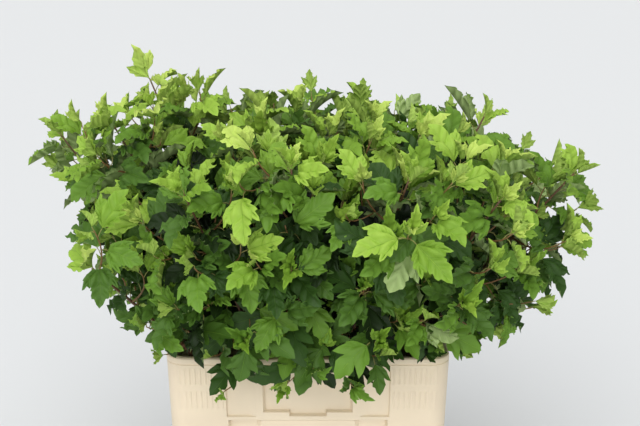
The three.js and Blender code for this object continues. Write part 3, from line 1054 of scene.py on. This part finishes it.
def leaf_colours(rank, place, depth, tint):
    """The numbers of a leaf's green, darker with age and with painted shade low down and inside, paler
    with painted light on the crown's top, and of its underside.
    """
    share = reach_share(place)
    height = clamp((place.z - CONTAINER_HEIGHT) / CROWN_HEIGHT)
    light = full_light(height, share)
    # Age steps are smaller in full light, as painted light
    age = min(rank, OLDEST_RANK) * mix(*AGE_STEP, light)
    # Painted light and shade: paler in full light and darker out of it, and darker still low down
    shade = mix(*LIGHT_STEP, light) + LOW_SHADE_STEPS * (1 - LOW_SHADE_SLOPE * height) ** LOW_SHADE_POWER
    # Painted shade inside the crown, which also stands for the darker green of shade leaves
    shade += INNER_SHADE_STEPS * max(0.0, INNER_SHADE_FROM - exposure(place, max(depth, share)))
    green = int(clamp(age + shade + tint, 0, len(LEAF_COLOURS) - 1))
    # The lit underside is painted light shining through a leaf in full light
    underside = 2 if light > 0.5 else 0 if rank < PALE_RANKS else 1
    return green, len(LEAF_COLOURS) + underside


def grow_leaves(points, spin, vigour, room, random, habit=USUAL_SHOOT):
    """The leaves of one shoot, from its tip down, that have room within the crown's reach."""
    leaves = []
    tint = mix(*TINT, random())
    leafy_length = sum((b - a).length for a, b in zip(points, points[1:])) * LEAFY_SHARE
    for rank in itertools.count():
        distance = FIRST_GAP + habit["gap"] * rank**RANK_GAP_POWER
        found = point_on(points, distance) if distance < leafy_length else None
        if found is None:
            return leaves
        place, axis = found
        step = min(rank, len(RANK_LEAN_DEG) - 1)
        size = LEAF_LENGTH * habit["sizes"][step] * (1 - LEAF_SHORTER * random())
        lean = RANK_LEAN_DEG[step] + LEAN_JITTER_DEG * (2 * random() - 1)
        out = leaning(axis, lean, spin + GOLDEN_ANGLE_DEG * rank)
        base = place + out * (PETIOLE * size)
        depth = reach_share(base, vigour)
        directions = leaf_frame(axis, out, base, min(1, rank / GROWN_RANK), random)
        leaf = {
            "place": place,
            "base": base,
            "directions": directions,
            "colours": leaf_colours(rank, base, depth, tint),
            "kind": "young" if rank < YOUNG_RANKS else "detailed" if depth > DETAIL_DEPTH else "plain",
            "shape": random(),
        }
        for length in (size * share for share in LEAF_TRIES):
            samples = leaf_samples(base, directions, length)
            fits = all(in_crown(p, vigour) for p in samples) and clear_of_container([base, *samples])
            if depth > LEAVES_FROM_DEPTH and fits and room.is_free(samples):
                room.take(samples)
                leaves.append({**leaf, "length": length})
                break


def grow_mass(stem, index, stems, room):
    """The shoots and leaves of one mass, by the rule of the solids carried on to side shoots."""
    random = seeded(MASS_SEED + index)
    finer = seeded(LEAF_SEED + index)
    vigour = min(stem["vigour"], TWIG_VIGOUR_MOST)
    direction = stem["direction"]
    borders = [(direction - other["direction"]).normalized() for other in stems if other is not stem]
    habit = TALL_SHOOT if stem["name"] == TALL_STEM else USUAL_SHOOT
    start = stem["top"] + direction * STEM_JOINT_GAP
    reach = crown_reach(direction) * stem["vigour"]
    end = FAN_ORIGIN + direction * (reach - LEAF_LENGTH * habit["end_back"])

    def is_own(point):
        from_origin = point - FAN_ORIGIN
        is_inside = all(border.dot(from_origin) > SPACE_GAP for border in borders)
        return is_inside and clear_of_container([point])

    def fitted(foot, tip, own_reach, spacing):
        """The shoot's tip drawn back until its leaves have room, and the way it points, or None."""
        for share in SHOOT_SHARES:
            drawn = foot.lerp(tip, share)
            points_to = heading(foot, drawn)
            crest = drawn + points_to * (LEAF_LENGTH * CREST)
            apart = all((drawn - other).length > spacing for other in tips)
            if is_own(drawn) and in_crown(drawn, own_reach) and in_crown(crest, own_reach) and apart:
                return drawn, points_to
        return None

    def grow(foot, tip, turn, build, spacing):
        """One shoot with its leaves, where it fits. Its points, or None."""
        own_reach = vigour * mix(*OWN_REACH, finer())
        found = fitted(foot, tip, own_reach, spacing)
        if found is None:
            return None
        drawn, points_to = found
        if reach_share(drawn) < LEAVES_FROM_DEPTH:
            return None
        points = curved(foot, drawn, points_to, build["steps"])
        grown = grow_leaves(points, turn + FIRST_TURN_DEG, own_reach, room, finer)
        if not grown:
            return None
        tips.append(drawn)
        shoots.append((points, build))
        leaves.extend(grown)
        return points

    main = curved(start, end, direction, MAIN_STEM["steps"])
    shoots = [(main, MAIN_STEM)]
    spin = habit.get("turn_deg", stem["spin"])
    leaves = grow_leaves(main, spin, stem["vigour"], room, finer, habit)
    tips = [end]
    for count in range(TWIG_TRIES):
        foot, tip, turn = twig_try(stem, start, end, count, random)
        twig = grow(foot, tip, turn, TWIG, TIP_SPACING)
        if twig is None:
            continue
        length = (twig[-1] - foot).length
        for number, share in enumerate(SIDE_SHOOT_PLACES):
            found = point_on(twig, length * (1 - share))
            if found is None:
                continue
            side_foot, axis = found
            side_turn = turn + GOLDEN_ANGLE_DEG * (number + 1)
            side_length = mix(*SIDE_SHOOT_LENGTH, finer())
            side_tip = side_foot + leaning(axis, SIDE_SHOOT_LEAN_DEG, side_turn) * side_length
            grow(side_foot, side_tip, side_turn, SIDE_SHOOT, SIDE_TIP_SPACING)
    return shoots, leaves


# Pieces of the plant


def bark_relief(rings, sides, seed):
    """The bark's relief by ring and side: ridges, flakes and a swelling at each bud."""

    def roughness(angle, along, waves):
        around, lengthwise = waves
        x, y = around * math.cos(angle), around * math.sin(angle)
        return noise.noise(Vector((x, y, along * lengthwise + seed)))

    def relief(ring, side):
        angle = 2 * math.pi * side / sides
        along = ring / rings
        ridges = RIDGE_HEIGHT * roughness(angle, along, RIDGE_WAVES)
        flakes = FLAKE_HEIGHT * roughness(angle, along, FLAKE_WAVES)
        bud = math.exp(-(((along * BUDS + BUD_SHIFT * seed) % 1 - 0.5) / BUD_WIDTH) ** 2)
        return 1 + ridges + flakes + BUD_HEIGHT * bud

    return relief


def stem_piece(stem, index, bark):
    """The bare part of a stem, from its flat cut to where its leaves begin."""
    foot, top, direction = stem["foot"], stem["top"], stem["direction"]
    rising = foot.lerp(top, 1 / 3)
    nearing = top - direction * ((top.z - foot.z) / 3)
    points, radii = [], []
    for t in (i / STEM_RINGS for i in range(STEM_RINGS + 1)):
        s = 1 - t
        points.append(foot * s**3 + rising * (3 * s * s * t) + nearing * (3 * s * t * t) + top * t**3)
        radii.append(mix(*STEM_RADIUS, t) * BARK_SHARE)
    corners, faces = tube(points, radii, STEM_SIDES, bark_relief(STEM_RINGS, STEM_SIDES, index))
    corners[:, 2] = np.maximum(corners[:, 2], foot.z)
    piece = new_piece(f"stem_{stem['name']}_bark", corners.tolist(), faces.tolist(), [bark])
    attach(piece, BODY)
    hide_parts(f"stem_{stem['name']}")


def twig_piece(name, shoots, leaves, materials):
    """All the shoots and leaf stalks of one mass. The materials are for shoots, stem and leaf stalks."""
    heap = Heap()
    for points, build in shoots:
        last = len(points) - 1
        radii = [mix(*build["radii"], i / last) for i in range(last + 1)]
        heap.add(*tube(points, radii, build["sides"]), 1 if build is MAIN_STEM else 0)
    for leaf in leaves:
        length = (leaf["base"] - leaf["place"]).length
        knee = leaf["base"] - leaf["directions"][0] * (PETIOLE_KNEE * length)
        points = [leaf["place"], leaf["place"].lerp(knee, 0.5), knee, leaf["base"]]
        heap.add(*tube(points, [PETIOLE_RADIUS * share for share in PETIOLE_TAPER], PETIOLE_SIDES), 2)
    piece = heap.piece(f"foliage_{name}_twigs", materials)
    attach(piece, BODY)


def leaf_piece(name, leaves, templates, materials):
    """All the leaves of one mass. Veins are a step paler than the leaf's green, or darker on the two palest,
    and that green holds painted shade and light.
    """
    heap = Heap()
    for leaf in leaves:
        choices = templates[leaf["kind"]]
        points, faces, roles = choices[int(leaf["shape"] * len(choices))]
        directions = np.array([tuple(d) for d in leaf["directions"]])
        green, underside = leaf["colours"]
        veins = green - 1 if green > 1 else green + 1
        slots = np.array([green, underside, veins])[roles]
        heap.add(points * leaf["length"] @ directions + np.array(leaf["base"]), faces, slots)
    piece = heap.piece(f"foliage_{name}_leaves", materials)
    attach(piece, BODY)
    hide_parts(f"foliage_{name}")


def plant():
    """All the stems, and each mass of foliage with its twigs and leaves."""
    bark = bark_material()
    shoot_materials = [
        shoot_material("shoot", SHOOT_COLOUR),
        shoot_material("stem_in_leaf", BARK_COLOUR),
        shoot_material("leaf_stalk", PETIOLE_COLOUR),
    ]
    leaf_materials = [leaf_material(f"leaf_{i + 1}", colour) for i, colour in enumerate(LEAF_COLOURS)]
    leaf_materials += [leaf_material(*underside) for underside in UNDERSIDES]
    shape_random = seeded(SHAPE_SEED)
    templates = {kind: leaf_templates(kind, shape_random) for kind in ("detailed", "plain", "young")}
    room = Room(LEAF_ROOM)
    stems = stem_layout()
    for index, stem in enumerate(stems):
        shoots, leaves = grow_mass(stem, index, stems, room)
        stem_piece(stem, index, bark)
        twig_piece(stem["name"], shoots, leaves, shoot_materials)
        leaf_piece(stem["name"], leaves, templates, leaf_materials)


# Camera, light and stage


def camera():
    data = bpy.data.cameras.new("camera")
    data.lens = CAMERA_LENS_MM
    data.sensor_width = SENSOR_WIDTH_MM
    made = new_object("camera", data)
    made.location = CAMERA_PLACE
    made.rotation_euler = (math.radians(90 - CAMERA_PITCH_DEG), 0, 0)
    bpy.context.scene.camera = made


def soft_light(name, aim, strength, spread_deg):
    """An even light from a wide part of the sky, so that shadows are soft."""
    data = bpy.data.lights.new(name, "SUN")
    data.energy = strength
    data.angle = math.radians(spread_deg)
    new_object(name, data).rotation_euler = Vector(aim).to_track_quat("-Z", "Y").to_euler()


def studio():
    """An even pale sky, two soft lights and a round pale floor."""
    world = bpy.data.worlds.new("studio")
    world.use_nodes = True
    background = world.node_tree.nodes["Background"]
    background.inputs["Color"].default_value = (*SKY_SHADE, 1)
    background.inputs["Strength"].default_value = SKY_STRENGTH
    bpy.context.scene.world = world
    bpy.context.scene.view_settings.view_transform = "Standard"
    soft_light("overhead_light", **OVERHEAD_LIGHT)
    soft_light("front_light", **FRONT_LIGHT)
    turns = [2 * math.pi * i / FLOOR_CORNERS for i in range(FLOOR_CORNERS)]
    corners = [(FLOOR_RADIUS * math.cos(turn), FLOOR_RADIUS * math.sin(turn), 0) for turn in turns]
    material, shader = principled("studio_floor", (0, 0, 0), roughness=0.6, specular=0.2)
    shader.inputs["Base Color"].default_value = (*FLOOR_SHADE, 1)
    floor = new_piece("floor", corners, [range(FLOOR_CORNERS)], [material])


camera()
studio()
container()
plant()
